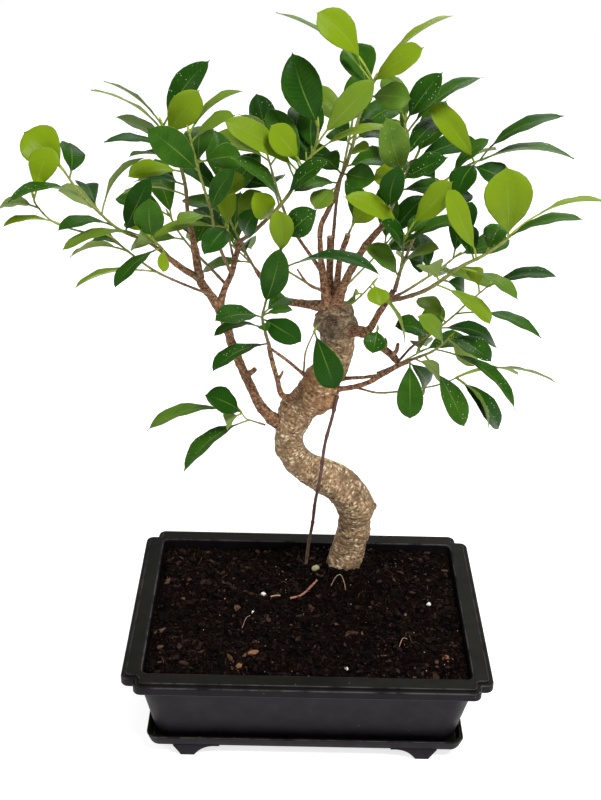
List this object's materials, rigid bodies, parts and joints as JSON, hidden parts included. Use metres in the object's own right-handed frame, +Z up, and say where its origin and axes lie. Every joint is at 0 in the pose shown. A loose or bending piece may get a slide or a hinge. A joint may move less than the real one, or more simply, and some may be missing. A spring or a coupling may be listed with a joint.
{
  "type": "potted bonsai tree",
  "caption": "Potted ficus bonsai with a curved trunk, forked branches and a leafy crown, in a rectangular stepped-rim pot on a footed drip tray",
  "frame": {"origin": "under the middle of the bounding box, on the surface that the tray's feet stand on", "axes": "+X to the right seen from the front, +Y to the back, +Z up"},
  "size_m": [0.4172, 0.2658, 0.5571],
  "materials": {
    "pot_plastic": "satin",
    "soil": "matte",
    "bark": "matte",
    "root_bark": "matte",
    "foliage": "satin",
    "perlite": "matte",
    "bark_chip": "matte"
  },
  "bodies": {
    "root": {"bark_chip_1": "bark_chip", "bark_chip_2": "bark_chip", "bark_chip_3": "bark_chip", "dead_twig": "bark_chip", "drip_tray": "pot_plastic", "hanging_root": "root_bark", "pebble_1": "perlite", "perlite_1": "perlite", "perlite_2": "perlite", "perlite_3": "perlite", "perlite_4": "perlite", "pot": "pot_plastic", "shoot_back_head": "foliage", "shoot_back_left": "foliage", "shoot_back_left_top": "foliage", "shoot_back_low_left": "foliage", "shoot_back_low_right": "foliage", "shoot_back_right": "foliage", "shoot_back_right_top": "foliage", "shoot_back_top": "foliage", "shoot_centre_left": "foliage", "shoot_dark_left": "foliage", "shoot_far_left_high": "foliage", "shoot_far_left_low": "foliage", "shoot_head_right": "foliage", "shoot_heart_leaf": "foliage", "shoot_left_fan": "foliage", "shoot_left_inner": "foliage", "shoot_left_stem": "foliage", "shoot_low_left": "foliage", "shoot_low_right_back": "foliage", "shoot_low_right_front": "foliage", "shoot_node_twig": "foliage", "shoot_right_front": "foliage", "shoot_right_high": "foliage", "shoot_right_long": "foliage", "shoot_right_low": "foliage", "shoot_spur": "foliage", "shoot_top": "foliage", "shoot_top_right": "foliage", "shoot_trunk_leaf": "foliage", "shoot_upper_left": "foliage", "shoot_upper_left_inner": "foliage", "soil": "soil", "trunk": "bark"}
  },
  "joints": []
}
